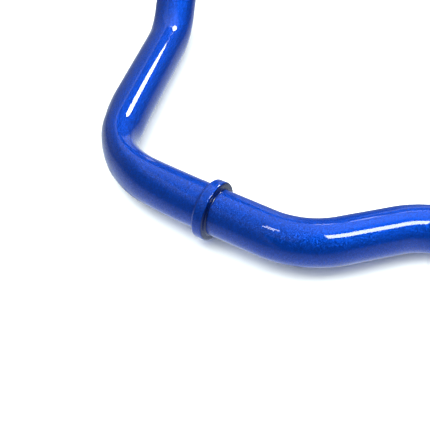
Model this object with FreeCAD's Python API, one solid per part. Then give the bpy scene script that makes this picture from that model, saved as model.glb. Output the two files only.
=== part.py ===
import FreeCAD, Part
import math
import os

# Front anti-roll bar, bare: one bent steel tube, a forged lug welded into
# each end of it, and two welded stop collars beside the bush seats.
# +X runs along the two bush seats, +Y towards the lugs, +Z up.
# The bar lies on its centre section and on the outer bend of each arm.
# Left means -X. The left half is built first and then mirrored.

V = FreeCAD.Vector

# Tube
TUBE_OD = 28.0
TUBE_WALL = 4.5
BEND_RADIUS = 50.0  # centreline radius, the same die for every bend

# Centreline, as corner-to-corner lengths and directions
SEAT_CENTRE = 330.0  # collar centre from the mid plane
SEAT_INNER = 58.5  # collar centre to the crank corner
SEAT_OUTER = 80.0  # collar centre to the elbow corner
SEAT_HEIGHT = 19.0  # bush seat axis above the floor
CRANK_LENGTH = 81.5
CRANK_ANGLE = 50.0  # crank against the seat axis
ARM_LENGTH = 152.0
ARM_SPLAY = 17.5  # arm leans outward from +Y
ARM_DROP = 2.09  # arm slopes down to its outer bend
TIP_LENGTH = 75.0  # outer bend corner to the end of the tube
TIP_SPLAY = 25.0
TIP_RISE = 32.0  # end of the arm climbs towards the lug

# Stop collar
COLLAR_OD = TUBE_OD + 8.0
COLLAR_WIDTH = 7.0
COLLAR_CLEARANCE = 0.03  # on the radius
COLLAR_EDGE = 1.3  # rounding of the outer edges
COLLAR_WELD_LEG = 2.0

# End lug
SPIGOT_LENGTH = 28.0
SPIGOT_CLEARANCE = 0.05
SPIGOT_CHAMFER = 1.5
GROOVE_DEPTH = 3.0  # weld groove, each side 45 degrees
WELD_CROWN = 1.1
SHOULDER_LENGTH = 13.0
NECK_LENGTH = 24.0  # round shoulder to flat blade
BLADE_THICKNESS = 11.0
BLADE_WIDTH = 36.0
BLADE_EDGE = 2.0
STOCK_SPREAD = 0.72  # trumpet radius at the end of the neck, in blade widths
HOLE_DIAMETER = 10.5
HOLE_CHAMFER = 0.8
HOLE_SPACING = 22.0
INNER_HOLE = 56.0  # tube end to the inner hole

TUBE_R = TUBE_OD / 2.0
BORE_R = TUBE_R - TUBE_WALL
OUTER_HOLE = INNER_HOLE + HOLE_SPACING
ZERO = V(0, 0, 0)


def heading(splay, rise):
    """Unit vector of a left-hand arm, from its splay and its rise."""
    a = math.radians(splay)
    b = math.radians(rise)
    return V(-math.sin(a) * math.cos(b), math.cos(a) * math.cos(b), math.sin(b))


def left_corners():
    """Centreline corners from the left tube end to the centre section."""
    elbow = V(-SEAT_CENTRE - SEAT_OUTER, 0, SEAT_HEIGHT)
    crank = V(-SEAT_CENTRE + SEAT_INNER, 0, SEAT_HEIGHT)
    a = math.radians(CRANK_ANGLE)
    run = V(CRANK_LENGTH * math.cos(a), CRANK_LENGTH * math.sin(a), 0)
    centre = V(crank.x + run.x, crank.y + run.y, TUBE_R)
    bend = elbow + heading(ARM_SPLAY, -ARM_DROP) * ARM_LENGTH
    end = bend + heading(TIP_SPLAY, TIP_RISE) * TIP_LENGTH
    return [end, bend, elbow, crank, centre]


def mirrored(p):
    return V(-p.x, p.y, p.z)


def unit(v):
    return V(v).normalize()


def ring_face(centre, axis, outer, inner):
    """Flat annulus, or a disc if inner is 0."""
    rim = Part.Wire(Part.makeCircle(outer, centre, axis))
    if inner <= 0:
        return Part.Face(rim)
    hole = Part.Wire(Part.makeCircle(inner, centre, axis))
    return Part.Face(rim).cut(Part.Face(hole)).Faces[0]


def bent_pipe(corners, outer, inner):
    """Straight runs and equal-radius bends through the corners."""
    pieces = []
    start = corners[0]
    for i in range(1, len(corners) - 1):
        into = unit(corners[i] - corners[i - 1])
        away = unit(corners[i + 1] - corners[i])
        turn = into.getAngle(away)
        setback = BEND_RADIUS * math.tan(turn / 2.0)
        begin = corners[i] - into * setback
        pieces.append(ring_face(start, into, outer, inner).extrude(begin - start))
        axis = unit(into.cross(away))
        pivot = begin + axis.cross(into) * BEND_RADIUS
        section = ring_face(begin, into, outer, inner)
        pieces.append(section.revolve(pivot, axis, math.degrees(turn)))
        start = corners[i] + away * setback
    last = unit(corners[-1] - start)
    pieces.append(ring_face(start, last, outer, inner).extrude(corners[-1] - start))
    pipe = pieces[0]
    for piece in pieces[1:]:
        pipe = pipe.fuse(piece)
    return pipe.removeSplitter()


def turned(points):
    """Solid of revolution about the local X axis from (x, radius) points."""
    outline = Part.makePolygon([V(x, r, 0) for x, r in points + points[:1]])
    return Part.Face(outline).revolve(ZERO, V(1, 0, 0), 360)


def placed(shape, origin, along, side):
    """Local X goes along the axis, local Y to the side."""
    x = unit(along)
    z = unit(x.cross(side))
    y = z.cross(x)
    m = FreeCAD.Matrix(
        x.x, y.x, z.x, origin.x,
        x.y, y.y, z.y, origin.y,
        x.z, y.z, z.z, origin.z,
        0, 0, 0, 1,
    )
    moved = shape.copy()
    moved.Placement = FreeCAD.Placement(m)
    return moved


def make_groove():
    """Space taken by the bevels at a tube end, about local X = 0."""
    root = TUBE_R - GROOVE_DEPTH
    over = TUBE_R + GROOVE_DEPTH
    reach = 2.0 * GROOVE_DEPTH
    return turned([(0, root), (reach, over), (-reach, over)])


def make_end_weld():
    """Groove weld with a low crown."""
    root = V(0, TUBE_R - GROOVE_DEPTH, 0)
    toe_a = V(-GROOVE_DEPTH, TUBE_R, 0)
    toe_b = V(GROOVE_DEPTH, TUBE_R, 0)
    crown = Part.Arc(toe_a, V(0, TUBE_R + WELD_CROWN, 0), toe_b).toShape()
    sides = [Part.makeLine(toe_b, root), Part.makeLine(root, toe_a)]
    section = Part.Face(Part.Wire([crown] + sides))
    return section.revolve(ZERO, V(1, 0, 0), 360)


def smooth_step(start, length, high, low):
    """Two equal tangent arcs stepping from one height down to another."""
    drop = high - low
    mid = V(start + length / 2.0, (high + low) / 2.0, 0)
    radius = (length * length + drop * drop) / (4.0 * drop)
    half = math.asin(length / 2.0 / radius) / 2.0
    dx = radius * math.sin(half)
    dy = radius * (1.0 - math.cos(half))
    first = Part.Arc(V(start, high, 0), V(start + dx, high - dy, 0), mid)
    end = V(start + length, low, 0)
    second = Part.Arc(mid, V(end.x - dx, low + dy, 0), end)
    return [first.toShape(), second.toShape()]


def mirror_across_x(edges):
    return [e.mirror(ZERO, V(0, 1, 0)) for e in edges]


def lug_profile(high, low, tip):
    """Closed symmetric outline in local X and Y that steps at the neck."""
    upper = [Part.makeLine(V(-SPIGOT_LENGTH, high, 0), V(SHOULDER_LENGTH, high, 0))]
    upper += smooth_step(SHOULDER_LENGTH, NECK_LENGTH, high, low)
    neck_end = SHOULDER_LENGTH + NECK_LENGTH
    upper.append(Part.makeLine(V(neck_end, low, 0), V(tip, low, 0)))
    edges = upper + mirror_across_x(upper)
    edges.append(Part.makeLine(V(-SPIGOT_LENGTH, high, 0), V(-SPIGOT_LENGTH, -high, 0)))
    edges.append(Part.makeLine(V(tip, low, 0), V(tip, -low, 0)))
    return Part.Face(Part.Wire(Part.__sortEdges__(edges)))


def blade_outline():
    """Round-ended blade in local X and Z, spreading smoothly from the shoulder."""
    half = BLADE_WIDTH / 2.0
    neck_end = SHOULDER_LENGTH + NECK_LENGTH
    upper = [Part.makeLine(V(0, TUBE_R, 0), V(SHOULDER_LENGTH, TUBE_R, 0))]
    for edge in smooth_step(0, NECK_LENGTH, half - TUBE_R, 0):
        spread = edge.mirror(ZERO, V(0, 1, 0))
        spread.translate(V(SHOULDER_LENGTH, half, 0))
        upper.append(spread)
    upper.append(Part.makeLine(V(neck_end, half, 0), V(OUTER_HOLE, half, 0)))
    edges = upper + mirror_across_x(upper)
    edges.append(Part.makeLine(V(0, TUBE_R, 0), V(0, -TUBE_R, 0)))
    nose = Part.Arc(V(OUTER_HOLE, half, 0), V(OUTER_HOLE + half, 0, 0), V(OUTER_HOLE, -half, 0))
    edges.append(nose.toShape())
    outline = Part.Face(Part.Wire(Part.__sortEdges__(edges)))
    outline.rotate(ZERO, V(1, 0, 0), 90)
    return outline


def round_stock():
    """Round shoulder that opens like a trumpet, clear of the blade's corners."""
    far = OUTER_HOLE + BLADE_WIDTH
    wide = BLADE_WIDTH * STOCK_SPREAD
    flank = []
    for edge in smooth_step(0, NECK_LENGTH, wide - TUBE_R, 0):
        spread = edge.mirror(ZERO, V(0, 1, 0))
        spread.translate(V(SHOULDER_LENGTH, wide, 0))
        flank.append(spread)
    neck_end = SHOULDER_LENGTH + NECK_LENGTH
    edges = flank + [
        Part.makeLine(ZERO, V(0, TUBE_R, 0)),
        Part.makeLine(V(0, TUBE_R, 0), V(SHOULDER_LENGTH, TUBE_R, 0)),
        Part.makeLine(V(neck_end, wide, 0), V(far, wide, 0)),
        Part.makeLine(V(far, wide, 0), V(far, 0, 0)),
        Part.makeLine(V(far, 0, 0), ZERO),
    ]
    section = Part.Face(Part.Wire(Part.__sortEdges__(edges)))
    return section.revolve(ZERO, V(1, 0, 0), 360)


def make_spigot():
    r = BORE_R - SPIGOT_CLEARANCE
    far = -SPIGOT_LENGTH
    near = 1.0
    points = [(far, 0), (far, r - SPIGOT_CHAMFER), (far + SPIGOT_CHAMFER, r)]
    return turned(points + [(near, r), (near, 0)])


def make_hole(x):
    """Drilled through along local Y, chamfered at both faces."""
    r = HOLE_DIAMETER / 2.0
    half = BLADE_THICKNESS / 2.0
    cut = Part.makeCylinder(r, 4.0 * half, V(x, -2.0 * half, 0), V(0, 1, 0))
    for side in (-1, 1):
        mouth = V(x, side * half, 0)
        inward = V(0, -side, 0)
        cone = Part.makeCone(r + HOLE_CHAMFER, r, HOLE_CHAMFER, mouth, inward)
        cut = cut.fuse(cone)
    return cut


def blade_edges(shape):
    """Long edges where the flat faces meet the rim of the blade."""
    half = BLADE_THICKNESS / 2.0
    found = []
    for edge in shape.Edges:
        box = edge.BoundBox
        flat = abs(abs(box.Center.y) - half) < 0.01 and box.YLength < 0.01
        if flat and box.XMax > SHOULDER_LENGTH + NECK_LENGTH + 1.0:
            if box.ZLength > HOLE_DIAMETER * 1.2 or box.XLength > HOLE_DIAMETER * 1.2:
                found.append(edge)
    return found


def make_lug():
    """Forged lug: spigot, round shoulder, smooth neck, drilled flat blade."""
    depth = 2.0 * BLADE_WIDTH
    side = lug_profile(TUBE_R, BLADE_THICKNESS / 2.0, OUTER_HOLE + BLADE_WIDTH)
    side = side.extrude(V(0, 0, depth))
    side.translate(V(0, 0, -depth / 2.0))
    plan = blade_outline().extrude(V(0, depth, 0))
    plan.translate(V(0, -depth / 2.0, 0))
    root = Part.makeCylinder(TUBE_R, SHOULDER_LENGTH, ZERO, V(1, 0, 0))
    blade = round_stock().common(side).common(plan)
    body = root.fuse(blade).removeSplitter()
    body = body.makeFillet(BLADE_EDGE, blade_edges(body))
    body = body.fuse(make_spigot()).cut(make_groove())
    for x in (INNER_HOLE, OUTER_HOLE):
        body = body.cut(make_hole(x))
    return body.removeSplitter()


def make_collar():
    """Plain ring with rounded outer edges."""
    half = COLLAR_WIDTH / 2.0
    inner = TUBE_R + COLLAR_CLEARANCE
    outer = COLLAR_OD / 2.0
    ring = turned([(-half, inner), (-half, outer), (half, outer), (half, inner)])
    rims = []
    for edge in ring.Edges:
        if edge.Closed and abs(edge.BoundBox.YLength - COLLAR_OD) < 0.1:
            rims.append(edge)
    return ring.makeFillet(COLLAR_EDGE, rims)


def make_collar_weld():
    """Fillet weld on the outboard side, hollow-faced, at local X < 0."""
    face_x = -COLLAR_WIDTH / 2.0
    base = TUBE_R + COLLAR_CLEARANCE
    leg = COLLAR_WELD_LEG
    toe = V(face_x - leg, base, 0)
    top = V(face_x, base + leg, 0)
    corner = V(face_x, base, 0)
    mid = V(face_x - 0.42 * leg, base + 0.42 * leg, 0)
    face = Part.Arc(toe, mid, top).toShape()
    sides = [Part.makeLine(top, corner), Part.makeLine(corner, toe)]
    return Part.Face(Part.Wire([face] + sides)).revolve(ZERO, V(1, 0, 0), 360)


def build():
    corners = left_corners()
    path = corners + [mirrored(p) for p in reversed(corners)]
    end = corners[0]
    outward = unit(corners[0] - corners[1])
    level = unit(outward.cross(V(0, 0, 1)))
    tube = bent_pipe(path, TUBE_R, BORE_R)
    groove = placed(make_groove(), end, outward, level)
    tube = tube.cut(groove).cut(groove.mirror(ZERO, V(1, 0, 0)))
    seat = V(-SEAT_CENTRE, 0, SEAT_HEIGHT)
    across = V(0, 1, 0)
    left = {
        "end_lug": placed(make_lug(), end, outward, level),
        "lug_weld": placed(make_end_weld(), end, outward, level),
        "stop_collar": placed(make_collar(), seat, V(1, 0, 0), across),
        "collar_weld": placed(make_collar_weld(), seat, V(1, 0, 0), across),
    }
    nodes = {"bar_tube": tube}
    for name, shape in left.items():
        nodes["left_" + name] = shape
        nodes["right_" + name] = shape.mirror(ZERO, V(1, 0, 0))
    return nodes


def main():
    nodes = build()
    box = Part.makeCompound(list(nodes.values())).optimalBoundingBox(False, False)
    shift = V(0, -(box.YMin + box.YMax) / 2.0, -box.ZMin)
    os.makedirs("parts", exist_ok=True)
    for name, shape in nodes.items():
        shape.translate(shift)
        shape.exportStep("parts/" + name + ".step")
        print(name, shape.ShapeType, len(shape.Solids), round(shape.Volume, 1), shape.isValid())
    print("shift", shift)


main()
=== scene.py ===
import math

import bmesh
import bpy
from mathutils import Matrix, Vector


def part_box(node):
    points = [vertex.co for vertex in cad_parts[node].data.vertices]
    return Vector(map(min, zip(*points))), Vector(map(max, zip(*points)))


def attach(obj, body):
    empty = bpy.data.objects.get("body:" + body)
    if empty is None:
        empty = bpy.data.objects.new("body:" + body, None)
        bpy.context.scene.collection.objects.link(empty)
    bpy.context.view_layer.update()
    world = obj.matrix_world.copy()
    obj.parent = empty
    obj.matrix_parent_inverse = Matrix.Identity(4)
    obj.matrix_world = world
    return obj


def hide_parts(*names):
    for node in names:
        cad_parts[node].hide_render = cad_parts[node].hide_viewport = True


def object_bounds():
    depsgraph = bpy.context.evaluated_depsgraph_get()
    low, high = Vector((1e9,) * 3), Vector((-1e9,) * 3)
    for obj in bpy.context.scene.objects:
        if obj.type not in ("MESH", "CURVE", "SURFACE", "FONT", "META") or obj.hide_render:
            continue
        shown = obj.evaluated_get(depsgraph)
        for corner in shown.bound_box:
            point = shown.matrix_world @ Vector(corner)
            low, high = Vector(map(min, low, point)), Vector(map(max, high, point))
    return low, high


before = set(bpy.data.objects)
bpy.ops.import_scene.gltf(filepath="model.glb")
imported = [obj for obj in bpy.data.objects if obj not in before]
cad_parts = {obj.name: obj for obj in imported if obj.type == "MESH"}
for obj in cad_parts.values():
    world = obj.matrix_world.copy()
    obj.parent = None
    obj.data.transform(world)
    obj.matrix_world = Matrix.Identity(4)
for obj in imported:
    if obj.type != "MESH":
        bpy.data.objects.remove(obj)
CAD_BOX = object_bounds()
MM = 0.001


# ---------------------------------------------------------------- geometry facts

TUBE_R = 14.0 * MM
BORE_R = 9.5 * MM
BEND_RADIUS = 50.0 * MM
GROOVE = 3.0 * MM
SEAT_INNER = 58.5 * MM  # collar centre to the crank corner
SEAT_OUTER = 80.0 * MM  # collar centre to the elbow corner
CRANK_LENGTH = 81.5 * MM
CRANK_ANGLE = 50.0
ARM_LENGTH = 152.0 * MM
ARM_SPLAY = 17.5
ARM_DROP = 2.09
TIP_LENGTH = 75.0 * MM
TIP_SPLAY = 25.0
TIP_RISE = 32.0


def middle(name):
    low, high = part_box(name)
    return (low + high) / 2.0


COLLAR = middle("left_stop_collar")
CENTRE_Z = TUBE_R + 0.02 * MM  # the centre section lies on the floor


def heading(splay, rise):
    """Unit vector pointing away from the seat, turned outward by splay and up by rise."""
    a = math.radians(splay)
    b = math.radians(rise)
    return Vector((-math.sin(a) * math.cos(b), math.cos(a) * math.cos(b), math.sin(b)))


def left_corners():
    """Corners of the bent centreline, from the left tube end to the centre."""
    elbow = COLLAR + Vector((-SEAT_OUTER, 0, 0))
    crank = COLLAR + Vector((SEAT_INNER, 0, 0))
    a = math.radians(CRANK_ANGLE)
    centre = crank + Vector((math.cos(a), math.sin(a), 0)) * CRANK_LENGTH
    centre.z = CENTRE_Z
    bend = elbow + heading(ARM_SPLAY, -ARM_DROP) * ARM_LENGTH
    end = bend + heading(TIP_SPLAY, TIP_RISE) * TIP_LENGTH
    return [end, bend, elbow, crank, centre]


def mirror(p):
    """The same point on the right half."""
    return Vector((-p.x, p.y, p.z))


# ---------------------------------------------------------------- mesh helpers

SMOOTH_ANGLE = math.radians(40.0)


def new_object(name, verts, faces, material):
    """Smooth-shaded piece that rides on the bar's one body."""
    mesh = bpy.data.meshes.new(name)
    mesh.from_pydata([tuple(v) for v in verts], [], faces)
    mesh.validate()
    bm = bmesh.new()
    bm.from_mesh(mesh)
    bmesh.ops.recalc_face_normals(bm, faces=bm.faces)
    bm.to_mesh(mesh)
    bm.free()
    mesh.shade_smooth()
    mesh.set_sharp_from_angle(angle=SMOOTH_ANGLE)
    mesh.materials.append(material)
    obj = bpy.data.objects.new(name, mesh)
    bpy.context.scene.collection.objects.link(obj)
    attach(obj, "root")
    return obj


def grid_faces(rows, cols):
    """Quads over a grid whose rows and columns both wrap round."""
    faces = []
    for i in range(rows):
        for j in range(cols):
            a = i * cols + j
            b = i * cols + (j + 1) % cols
            c = ((i + 1) % rows) * cols + (j + 1) % cols
            d = ((i + 1) % rows) * cols + j
            faces.append((a, b, c, d))
    return faces


def turned_object(name, profile, origin, axis, material, around=160, ripple=None):
    """Closed ring from (x, radius) points turned about the axis."""
    axis = axis.normalized()
    up = Vector((0, 0, 1))
    side = axis.cross(up).normalized()
    top = side.cross(axis).normalized()
    verts = []
    for x, r in profile:
        for j in range(around):
            angle = 2.0 * math.pi * j / around
            radius = r + (ripple(x, r, angle) if ripple else 0.0)
            spoke = side * math.cos(angle) + top * math.sin(angle)
            verts.append(origin + axis * x + spoke * radius)
    faces = grid_faces(len(profile), around)
    return new_object(name, verts, faces, material)


# ---------------------------------------------------------------- the tube

STRAIGHT_STEP = 12.0 * MM
BEND_STEP = math.radians(2.0)
AROUND = 112
SHARP_TURN = math.radians(60.0)  # only sharper bends are visibly flattened
FLAT_REACH = 26.0 * MM
OUTER_FLAT = 0.40  # share of the radius lost on the outside of an elbow
CROWN_GAIN = 0.03  # the section grows a little across the bend
INNER_PINCH = 0.06  # the inside wall is drawn in mid-bend and swells before and after it
PINCH_SPREAD = 0.45  # width of the pinch and of each swelling, as a share of half the bend


def centreline():
    """Points and tangents from tube end to tube end, and each bend's span, pivot and turn."""
    left = left_corners()
    corners = left + [mirror(p) for p in reversed(left)]
    points = []
    tangents = []
    bends = []
    start = corners[0]
    length = 0.0

    def run(a, b, direction):
        steps = max(1, int((b - a).length / STRAIGHT_STEP))
        for i in range(steps):
            points.append(a.lerp(b, i / steps))
            tangents.append(direction)

    for before, corner, after in zip(corners, corners[1:], corners[2:]):
        into = (corner - before).normalized()
        away = (after - corner).normalized()
        turn = into.angle(away)
        setback = BEND_RADIUS * math.tan(turn / 2.0)
        begin = corner - into * setback
        run(start, begin, into)
        inward = (away - into * into.dot(away)).normalized()
        pivot = begin + inward * BEND_RADIUS
        steps = max(2, int(turn / BEND_STEP))
        first = len(points)
        for i in range(steps):
            a = turn * i / steps
            points.append(pivot - inward * BEND_RADIUS * math.cos(a) + into * BEND_RADIUS * math.sin(a))
            tangents.append(into * math.cos(a) + inward * math.sin(a))
        bends.append((first, len(points), pivot, turn))
        start = corner + away * setback
    last = (corners[-1] - start).normalized()
    run(start, corners[-1], last)
    points.append(corners[-1])
    tangents.append(last)
    return points, tangents, bends


def flattening(points, tangents, bends):
    """For each ring: outward direction, flattening of the outer wall, pinch of the inner wall."""
    along = [0.0]
    for a, b in zip(points, points[1:]):
        along.append(along[-1] + (b - a).length)
    result = []
    for p, tangent, here in zip(points, tangents, along):
        best = (Vector((0, 0, 0)), 0.0, 0.0)
        for first, last, pivot, turn in bends:
            if turn < SHARP_TURN:
                continue
            inside = min(here - along[first], along[last] - here)
            t = max(0.0, min(1.0, (inside + FLAT_REACH) / (2.0 * FLAT_REACH)))
            amount = t * t * (3.0 - 2.0 * t)
            if amount > best[1]:
                out = p - pivot
                out = (out - tangent * out.dot(tangent)).normalized()
                half = (along[last] - along[first]) / 2.0
                off = abs(here - along[first] - half) / half
                drawn_in = math.exp(-((off / PINCH_SPREAD) ** 2))
                swollen = math.exp(-(((off - 1.0) / PINCH_SPREAD) ** 2))
                pinch = drawn_in - swollen
                best = (out, amount, pinch)
        result.append(best)
    return result


def tube_rings(radius, shorten=0.0):
    """Rings of the given radius along the centreline, shortened at both ends if asked."""
    points, tangents, bends = centreline()
    flat = flattening(points, tangents, bends)
    rings = []
    side = tangents[0].cross(Vector((0, 0, 1))).normalized()
    for i, (p, t) in enumerate(zip(points, tangents)):
        side = (side - t * side.dot(t)).normalized()
        top = t.cross(side)
        out, amount, pinch = flat[i]
        if i == 0:
            p = p + t * shorten
        if i == len(points) - 1:
            p = p - t * shorten
        ring = []
        for j in range(AROUND):
            a = 2.0 * math.pi * j / AROUND
            spoke = side * math.cos(a) + top * math.sin(a)
            if amount > 0.0:
                u = spoke.dot(out)
                across = spoke - out * u
                loss = OUTER_FLAT * amount if u > 0 else INNER_PINCH * pinch
                spoke = across * (1.0 + CROWN_GAIN * amount) + out * u * (1.0 - loss)
            ring.append(p + spoke * radius)
        rings.append(ring)
    return rings


def make_tube(material):
    """Tube with its bore and the bevelled ends that the groove welds fill."""
    outer = tube_rings(TUBE_R, shorten=GROOVE)
    land = tube_rings(TUBE_R - GROOVE)
    inner = tube_rings(BORE_R)
    rings = [land[0]] + outer + [land[-1]] + inner[::-1]
    verts = [v for ring in rings for v in ring]
    faces = grid_faces(len(rings), AROUND)
    tube = new_object("bar_tube_skin", verts, faces, material)
    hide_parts("bar_tube")


# ---------------------------------------------------------------- collars and welds

COLLAR_EDGE = 1.3 * MM
COLLAR_ROOT = 1.0 * MM  # paint fillet against the tube
COLLAR_CLEARANCE = 0.03 * MM
ARC_STEPS = 8
WELD_CROWN = 1.1 * MM
WELD_STEPS = 12
WELD_ROOT_GAP = 0.1 * MM
COLLAR_WELD_LEG = 2.0 * MM
HOLLOW_SHARE = 1.0 / 1.35  # how far the fillet weld's face goes from flat to a full hollow arc
WELD_AROUND = 360
RIPPLE_PITCH = 1.9 * MM
RIPPLE_HEIGHT = 0.2 * MM


def arc_points(cx, cy, r, start, stop, steps=ARC_STEPS):
    """Points (x, radius) on an arc between two angles in degrees."""
    out = []
    for i in range(steps + 1):
        a = math.radians(start + (stop - start) * i / steps)
        out.append((cx + r * math.cos(a), cy + r * math.sin(a)))
    return out


def make_collar(side, material):
    """Turned ring with rounded edges and the small paint fillet at its inboard root."""
    name = side + "_stop_collar"
    low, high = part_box(name)
    origin = (low + high) / 2.0
    inboard = 1.0 if side == "left" else -1.0
    half = (high.x - low.x) / 2.0
    outer = (high.z - low.z) / 2.0
    edge = COLLAR_EDGE
    root = COLLAR_ROOT
    skin = TUBE_R + COLLAR_CLEARANCE
    profile = [(-half, skin)]
    profile += arc_points(-half + edge, outer - edge, edge, 180, 90)
    profile += arc_points(half - edge, outer - edge, edge, 90, 0)
    profile += arc_points(half + root, skin + root, root, 180, 270)
    axis = Vector((inboard, 0, 0))
    ring = turned_object(name + "_ring", profile, origin, axis, material)
    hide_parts(name)


def weld_ripple(width, centre, skin):
    """Crescent ripples round a bead, fading towards its toes."""
    count = round(2.0 * math.pi * TUBE_R / RIPPLE_PITCH)

    def ripple(x, r, angle):
        across = (x - centre) / width
        share = max(0.0, 1.0 - across * across)
        if r < skin:
            share = 0.0
        uneven = 1.0 + 0.3 * math.sin(7.0 * angle) + 0.2 * math.sin(17.0 * angle + 1.0)
        wave = abs(math.sin(0.5 * count * angle + 1.1 * across * across))
        return RIPPLE_HEIGHT * share * uneven * (wave - 0.4)

    return ripple


def make_lug_weld(side, material):
    """Bead that fills the groove between the tube end and the lug."""
    name = side + "_lug_weld"
    corners = left_corners()
    end, bend = corners[0], corners[1]
    if side == "right":
        end, bend = mirror(end), mirror(bend)
    profile = [(0.0, TUBE_R - GROOVE + WELD_ROOT_GAP)]
    for i in range(WELD_STEPS + 1):
        across = -1.0 + 2.0 * i / WELD_STEPS
        profile.append((GROOVE * across, TUBE_R + WELD_CROWN * (1.0 - across * across)))
    ripple = weld_ripple(GROOVE, 0.0, TUBE_R)
    bead = turned_object(name + "_bead", profile, end, end - bend, material, WELD_AROUND, ripple)
    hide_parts(name)


def make_collar_weld(side, material):
    """Hollow fillet bead on the collar's outboard side."""
    name = side + "_collar_weld"
    low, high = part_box(side + "_stop_collar")
    inboard = 1.0 if side == "left" else -1.0
    face = -(high.x - low.x) / 2.0
    leg = COLLAR_WELD_LEG
    origin = (low + high) / 2.0
    profile = [(face, TUBE_R + COLLAR_CLEARANCE)]
    hollow = arc_points(face - leg, TUBE_R + leg, leg, 270, 360)
    for i, (hollow_x, hollow_r) in enumerate(hollow):
        up = i / ARC_STEPS
        flat_x = face - leg * (1.0 - up)
        flat_r = TUBE_R + leg * up
        x = flat_x + (hollow_x - flat_x) * HOLLOW_SHARE
        r = flat_r + (hollow_r - flat_r) * HOLLOW_SHARE
        profile.append((x, r))
    ripple = weld_ripple(leg * 0.6, face - leg * 0.4, TUBE_R + WELD_ROOT_GAP)
    axis = Vector((inboard, 0, 0))
    bead = turned_object(name + "_bead", profile, origin, axis, material, WELD_AROUND, ripple)
    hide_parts(name)


# ---------------------------------------------------------------- materials

def node(tree, kind, **values):
    """New shader node with its settings."""
    n = tree.nodes.new(kind)
    for key, value in values.items():
        setattr(n, key, value)
    return n


def ramp_node(tree, source, start, stop, low, high):
    """Map a value from start..stop smoothly onto low..high, clamped."""
    n = node(tree, "ShaderNodeMapRange", interpolation_type="SMOOTHSTEP")
    n.inputs["From Min"].default_value = start
    n.inputs["From Max"].default_value = stop
    n.inputs["To Min"].default_value = low
    n.inputs["To Max"].default_value = high
    tree.links.new(source, n.inputs["Value"])
    return n.outputs["Result"]


def math_node(tree, operation, first, second=0.0):
    """Result of one operation on sockets or numbers."""
    n = node(tree, "ShaderNodeMath", operation=operation)
    for socket, value in zip(n.inputs, (first, second)):
        if isinstance(value, (int, float)):
            socket.default_value = value
        else:
            tree.links.new(value, socket)
    return n.outputs[0]


BLUE = (0.002, 0.08, 0.6)
# painted shade: dark blue put on the collar's flat inboard side
SHADED_FACE_BLUE = (0.001, 0.02, 0.16)
METAL_SHARE = 0.955  # flake; the rest is plain blue pigment
FLAKE_SCALE = 2500.0  # cells per metre
FLAKE_TILT = 0.6
TONE_SCALE = 1500.0
DARKER = 0.72
LIGHTER = 1.25
FLAKE_ROUGHNESS = (0.50, 0.66)
PEEL_STRENGTH = 0.06


def blue_paint(name, base, bump_scale, bump_height):
    """Metallic blue with tilted flake and mottled tone, under a clear coat with a faint peel."""
    m = bpy.data.materials.new(name)
    m.use_nodes = True
    tree = m.node_tree
    link = tree.links.new
    shader = tree.nodes["Principled BSDF"]
    coords = node(tree, "ShaderNodeTexCoord")
    shader.inputs["Metallic"].default_value = METAL_SHARE
    shader.inputs["Coat Weight"].default_value = 1.0
    shader.inputs["Coat Roughness"].default_value = 0.03
    shader.inputs["Coat IOR"].default_value = 1.5

    flake = node(tree, "ShaderNodeTexVoronoi", feature="F1")
    flake.inputs["Scale"].default_value = FLAKE_SCALE
    link(coords.outputs["Object"], flake.inputs["Vector"])
    centred = node(tree, "ShaderNodeVectorMath", operation="SUBTRACT")
    centred.inputs[1].default_value = (0.5, 0.5, 0.5)
    link(flake.outputs["Color"], centred.inputs[0])
    tilt = node(tree, "ShaderNodeVectorMath", operation="SCALE")
    tilt.inputs["Scale"].default_value = FLAKE_TILT
    link(centred.outputs[0], tilt.inputs[0])
    geometry = node(tree, "ShaderNodeNewGeometry")
    tilted = node(tree, "ShaderNodeVectorMath", operation="ADD")
    link(geometry.outputs["Normal"], tilted.inputs[0])
    link(tilt.outputs[0], tilted.inputs[1])
    unit = node(tree, "ShaderNodeVectorMath", operation="NORMALIZE")
    link(tilted.outputs[0], unit.inputs[0])
    link(unit.outputs[0], shader.inputs["Normal"])

    tone = node(tree, "ShaderNodeTexNoise")
    tone.inputs["Scale"].default_value = TONE_SCALE
    tone.inputs["Detail"].default_value = 4.0
    link(coords.outputs["Object"], tone.inputs["Vector"])
    ramp = node(tree, "ShaderNodeValToRGB")
    dark = tuple(c * DARKER for c in base)
    light = tuple(min(1.0, c * LIGHTER) for c in base)
    ramp.color_ramp.elements[0].position = 0.3
    ramp.color_ramp.elements[0].color = (*dark, 1.0)
    ramp.color_ramp.elements[1].position = 0.72
    ramp.color_ramp.elements[1].color = (*light, 1.0)
    link(tone.outputs["Fac"], ramp.inputs["Fac"])
    link(ramp.outputs["Color"], shader.inputs["Base Color"])

    grain = node(tree, "ShaderNodeMapRange")
    grain.inputs["To Min"].default_value = FLAKE_ROUGHNESS[0]
    grain.inputs["To Max"].default_value = FLAKE_ROUGHNESS[1]
    link(flake.outputs["Distance"], grain.inputs["Value"])
    link(grain.outputs["Result"], shader.inputs["Roughness"])

    peel = node(tree, "ShaderNodeTexNoise")
    peel.inputs["Scale"].default_value = bump_scale
    peel.inputs["Detail"].default_value = 2.0
    link(coords.outputs["Object"], peel.inputs["Vector"])
    bump = node(tree, "ShaderNodeBump")
    bump.inputs["Strength"].default_value = PEEL_STRENGTH
    bump.inputs["Distance"].default_value = bump_height
    link(peel.outputs["Fac"], bump.inputs["Height"])
    link(bump.outputs["Normal"], shader.inputs["Coat Normal"])
    return m


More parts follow.
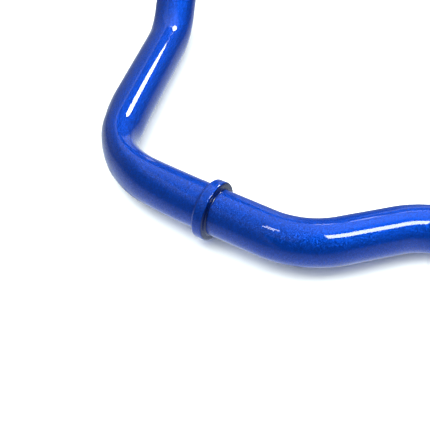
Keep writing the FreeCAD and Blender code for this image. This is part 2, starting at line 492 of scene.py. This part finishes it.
def collar_paint_material():
    """Tube paint, with painted shade making the collar's flat inboard side dark."""
    m = blue_paint("blue_flake_collar", BLUE, 400.0, 0.00005)
    tree = m.node_tree
    shader = tree.nodes["Principled BSDF"]
    colour = shader.inputs["Base Color"].links[0].from_socket
    coords = node(tree, "ShaderNodeTexCoord")
    parts = node(tree, "ShaderNodeSeparateXYZ")
    tree.links.new(coords.outputs["Object"], parts.inputs[0])
    from_middle = math_node(tree, "ABSOLUTE", parts.outputs["X"])
    inboard_face = abs(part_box("left_stop_collar")[1].x)
    # painted shade: the base colour turns dark blue within a millimetre of the collar's inboard face
    shaded_face = ramp_node(tree, from_middle, inboard_face + 0.8 * MM, inboard_face + 0.2 * MM, 0.0, 1.0)
    mix = node(tree, "ShaderNodeMix", data_type="RGBA")
    tree.links.new(shaded_face, mix.inputs["Factor"])
    tree.links.new(colour, mix.inputs["A"])
    mix.inputs["B"].default_value = (*SHADED_FACE_BLUE, 1.0)
    tree.links.new(mix.outputs["Result"], shader.inputs["Base Color"])
    return m


def floor_material():
    """Matt white table."""
    m = bpy.data.materials.new("white_table")
    m.use_nodes = True
    shader = m.node_tree.nodes["Principled BSDF"]
    shader.inputs["Base Color"].default_value = (0.84, 0.89, 0.85, 1.0)
    shader.inputs["Roughness"].default_value = 1.0
    shader.inputs["Specular IOR Level"].default_value = 0.0
    return m


def card_material():
    """Glow of the painted reflection of the pale table round the bar, stored at each point of its grid.
    """
    m = bpy.data.materials.new("pale_card")
    m.use_nodes = True
    tree = m.node_tree
    shader = tree.nodes["Principled BSDF"]
    shader.inputs["Base Color"].default_value = (0.0, 0.0, 0.0, 1.0)
    shader.inputs["Specular IOR Level"].default_value = 0.0
    shader.inputs["Emission Color"].default_value = (0.86, 0.97, 1.0, 1.0)
    stored = node(tree, "ShaderNodeAttribute", attribute_name="glow")
    tree.links.new(stored.outputs["Fac"], shader.inputs["Emission Strength"])
    return m


# ---------------------------------------------------------------- stage

PITCH = math.radians(43.2)
TURN = math.radians(32.2)
STAND_OFF = 0.6067
LENS = 88.16  # mm
SENSOR = 36.0  # mm
AIM_RIGHT = 0.00144
AIM_DOWN = 0.00297
TABLE_HALF = 6.0
BACKDROP_RADIUS = 1.5
BACKDROP_HEIGHT = 5.0
BACKDROP_SIDES = 96
CARD_MARGIN = 0.25  # beyond the bar's box
CARD_STEP = 0.01
CARD_DEPTH = 0.0005  # below the table top
CARD_GLOW = 1.1
CARD_FADE = 0.09  # distance over which the glow falls to 37 %
UNDER_BAR = 0.004  # painted shadow under the bar: the glow is nil closer than this, and full at twice this


def make_camera():
    """Camera at the left end, level from side to side, aimed beside the left collar."""
    away = Vector((-math.sin(TURN), math.cos(TURN), 0))
    right = Vector((math.cos(TURN), math.sin(TURN), 0))
    up = Vector((0, 0, 1))
    forward = away * math.cos(PITCH) - up * math.sin(PITCH)
    down = -away * math.sin(PITCH) - up * math.cos(PITCH)
    data = bpy.data.cameras.new("camera")
    data.lens = LENS
    data.sensor_width = SENSOR
    data.clip_start = 0.01
    camera = bpy.data.objects.new("camera", data)
    camera.location = COLLAR - forward * STAND_OFF + right * AIM_RIGHT + down * AIM_DOWN
    camera.rotation_euler = forward.to_track_quat("-Z", "Y").to_euler()
    bpy.context.scene.collection.objects.link(camera)
    bpy.context.scene.camera = camera


def stage_object(name, verts, faces, material):
    """Piece of the stage, which isn't part of the bar."""
    mesh = bpy.data.meshes.new(name)
    mesh.from_pydata(verts, [], faces)
    mesh.materials.append(material)
    obj = bpy.data.objects.new(name, mesh)
    bpy.context.scene.collection.objects.link(obj)
    return obj


def make_table():
    """Wide white table. Its clipped white is too strong for the gloss, which sees the card instead."""
    reach = TABLE_HALF
    corners = [(-reach, -reach, 0.0), (reach, -reach, 0.0), (reach, reach, 0.0), (-reach, reach, 0.0)]
    table = stage_object("table_top", corners, [(0, 1, 2, 3)], floor_material())
    table.visible_glossy = False


def card_glow(distance):
    """Painted shadow under the bar, bright beside it, fading out further away."""
    t = max(0.0, min(1.0, (distance - UNDER_BAR) / UNDER_BAR))
    return CARD_GLOW * t * math.exp(-distance / CARD_FADE)


def make_card():
    """Glowing sheet that only the gloss picks up: a painted reflection of the pale table, with painted
    shadow under the bar.
    """
    half_x = CAD_BOX[1][0] + CARD_MARGIN
    half_y = CAD_BOX[1][1] + CARD_MARGIN
    columns = int(2.0 * half_x / CARD_STEP)
    rows = int(2.0 * half_y / CARD_STEP)
    line = [Vector((p.x, p.y, 0.0)) for p in centreline()[0]]
    verts = []
    glow = []
    for i in range(rows + 1):
        for j in range(columns + 1):
            p = Vector((-half_x + j * CARD_STEP, -half_y + i * CARD_STEP, 0.0))
            verts.append((p.x, p.y, -CARD_DEPTH))
            # painted shadow close to the bar's centreline, painted light fading with distance beyond it
            glow.append(card_glow(min((p - q).length for q in line)))
    faces = []
    for i in range(rows):
        for j in range(columns):
            a = i * (columns + 1) + j
            faces.append((a, a + 1, a + columns + 2, a + columns + 1))
    card = stage_object("pale_card", verts, faces, card_material())
    card.data.attributes.new("glow", "FLOAT", "POINT").data.foreach_set("value", glow)
    card.visible_camera = False
    card.visible_diffuse = False
    card.visible_shadow = False


def backdrop_material():
    """White on the inside of the backdrop, clear from outside."""
    m = bpy.data.materials.new("white_backdrop")
    m.use_nodes = True
    tree = m.node_tree
    tree.nodes.remove(tree.nodes["Principled BSDF"])
    white = node(tree, "ShaderNodeEmission")
    clear = node(tree, "ShaderNodeBsdfTransparent")
    geometry = node(tree, "ShaderNodeNewGeometry")
    mix = node(tree, "ShaderNodeMixShader")
    tree.links.new(geometry.outputs["Backfacing"], mix.inputs["Fac"])
    tree.links.new(white.outputs[0], mix.inputs[1])
    tree.links.new(clear.outputs[0], mix.inputs[2])
    tree.links.new(mix.outputs[0], tree.nodes["Material Output"].inputs["Surface"])
    return m


def make_backdrop():
    """Round white wall behind the bar, seen by the camera only."""
    sides = BACKDROP_SIDES
    verts = []
    for z in (0.0, BACKDROP_HEIGHT):
        for i in range(sides):
            a = 2.0 * math.pi * i / sides
            verts.append((BACKDROP_RADIUS * math.cos(a), BACKDROP_RADIUS * math.sin(a), z))
    faces = []
    for i in range(sides):
        j = (i + 1) % sides
        faces.append((i, i + sides, j + sides, j))
    wall = stage_object("backdrop", verts, faces, backdrop_material())
    wall.visible_glossy = False
    wall.visible_diffuse = False
    wall.visible_shadow = False


def toward(azimuth, elevation):
    """Unit vector from the bar's left end, azimuth from +X towards +Y."""
    a = math.radians(azimuth)
    e = math.radians(elevation)
    return Vector((math.cos(a) * math.cos(e), math.sin(a) * math.cos(e), math.sin(e)))


def softbox(
    name, azimuth, elevation, distance, size, radiance, roll=0.0, on_table=False, shape="RECTANGLE"
):
    """Light facing the left collar, its size in degrees from there.

    It lights only gloss and flake, or with on_table only the matt table and the pigment.
    """
    z = toward(azimuth, elevation)
    level = Vector((0, 0, 1)).cross(z).normalized()
    upward = z.cross(level)
    turn = math.radians(roll)
    x = level * math.cos(turn) + upward * math.sin(turn)
    y = z.cross(x)
    data = bpy.data.lights.new(name, "AREA")
    data.shape = shape
    data.size = 2.0 * distance * math.tan(math.radians(size[0]) / 2.0)
    data.size_y = 2.0 * distance * math.tan(math.radians(size[1]) / 2.0)
    area = data.size * data.size_y * (1.0 if shape == "RECTANGLE" else math.pi / 4.0)
    data.energy = radiance * math.pi * area
    light = bpy.data.objects.new(name, data)
    turned = Matrix((x, y, z)).transposed().to_4x4()
    light.matrix_world = Matrix.Translation(COLLAR + z * distance) @ turned
    light.visible_glossy = not on_table
    light.visible_diffuse = on_table
    bpy.context.scene.collection.objects.link(light)


GAP_SIDE = (-0.891, -0.454, 0.0)  # level direction across the dark gap in the wall
GAP_HEIGHT = 0.33
AMBIENT = 0.02
COOL_WHITE = (0.84, 0.97, 1.0, 1.0)
WALL_EDGE = (-0.884, -0.089, -0.459)  # points from its leaning edge into the pale wall


def make_world():
    """Dark room in front and to the right, a pale wall on the left and a paler ceiling behind."""
    world = bpy.data.worlds.new("studio")
    bpy.context.scene.world = world
    world.use_nodes = True
    tree = world.node_tree
    coords = node(tree, "ShaderNodeTexCoord")
    beside = node(tree, "ShaderNodeVectorMath", operation="DOT_PRODUCT")
    beside.inputs[1].default_value = WALL_EDGE
    tree.links.new(coords.outputs["Generated"], beside.inputs[0])
    parts = node(tree, "ShaderNodeSeparateXYZ")
    tree.links.new(coords.outputs["Generated"], parts.inputs[0])
    x, y, z = parts.outputs

    above = ramp_node(tree, z, 0.60, 0.66, 0.0, 1.0)
    leftward = ramp_node(tree, x, 0.35, 0.15, 0.0, 1.0)
    panel = ramp_node(tree, y, -0.2, 0.5, 0.3, 0.85)
    ceiling = math_node(tree, "MULTIPLY", math_node(tree, "MULTIPLY", above, leftward), panel)

    past_edge = ramp_node(tree, beside.outputs["Value"], 0.0, 0.03, 0.0, 1.0)
    near_edge = ramp_node(tree, beside.outputs["Value"], 0.25, 0.05, 0.25, 0.8)
    not_front = ramp_node(tree, y, -0.7, -0.2, 0.3, 1.0)
    wall = math_node(tree, "MULTIPLY", math_node(tree, "MULTIPLY", past_edge, near_edge), not_front)

    across_gap = node(tree, "ShaderNodeVectorMath", operation="DOT_PRODUCT")
    across_gap.inputs[1].default_value = GAP_SIDE
    tree.links.new(coords.outputs["Generated"], across_gap.inputs[0])
    off_centre = math_node(tree, "ABSOLUTE", across_gap.outputs["Value"])
    off_height = math_node(tree, "ABSOLUTE", math_node(tree, "SUBTRACT", z, GAP_HEIGHT))
    beside_gap = ramp_node(tree, off_centre, 0.055, 0.075, 0.0, 1.0)
    over_gap = ramp_node(tree, off_height, 0.25, 0.27, 0.0, 1.0)
    wall = math_node(tree, "MULTIPLY", wall, math_node(tree, "MAXIMUM", beside_gap, over_gap))
    glow = math_node(tree, "ADD", math_node(tree, "MAXIMUM", ceiling, wall), AMBIENT)
    background = tree.nodes["Background"]
    background.inputs["Color"].default_value = COOL_WHITE
    tree.links.new(glow, background.inputs["Strength"])


def make_lights():
    """Streak lights for the gloss, and broad fills for the table."""
    softbox("back_light", 90, 35, 3.0, (14, 13), 24.0, roll=29, shape="ELLIPSE")
    softbox("right_light", 8, 57, 2.4, (15, 26), 20.0, roll=45)
    for i in range(3):
        softbox("row_lamp_" + str(i + 1), 98 + 5 * i, 40, 2.8, (2, 3), 7.0)
    for i in range(2):
        softbox("ceiling_tube_" + str(i + 1), -122, 71 - 5 * i, 2.1, (10, 2), 26.0, roll=20)
    softbox("table_fill_left", -165, 60, 2.4, (60, 60), 3.8, on_table=True)
    softbox("table_fill_back", 60, 60, 2.4, (60, 60), 3.6, on_table=True)
    softbox("table_fill_front", -80, 50, 2.4, (70, 60), 2.4, on_table=True)


make_world()
make_table()
make_card()
make_backdrop()
make_camera()
make_lights()
bpy.context.scene.view_settings.view_transform = "Standard"

tube_paint = blue_paint("blue_flake_tube", BLUE, 260.0, 0.00006)
collar_paint = collar_paint_material()
forging_paint = blue_paint("blue_flake_forging", BLUE, 180.0, 0.00018)
weld_paint = blue_paint("blue_flake_weld", BLUE, 500.0, 0.0001)

make_tube(tube_paint)
for side in ("left", "right"):
    make_collar(side, collar_paint)
    make_collar_weld(side, weld_paint)
    make_lug_weld(side, weld_paint)
    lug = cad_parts[side + "_end_lug"]
    lug.data.materials.clear()
    lug.data.materials.append(forging_paint)
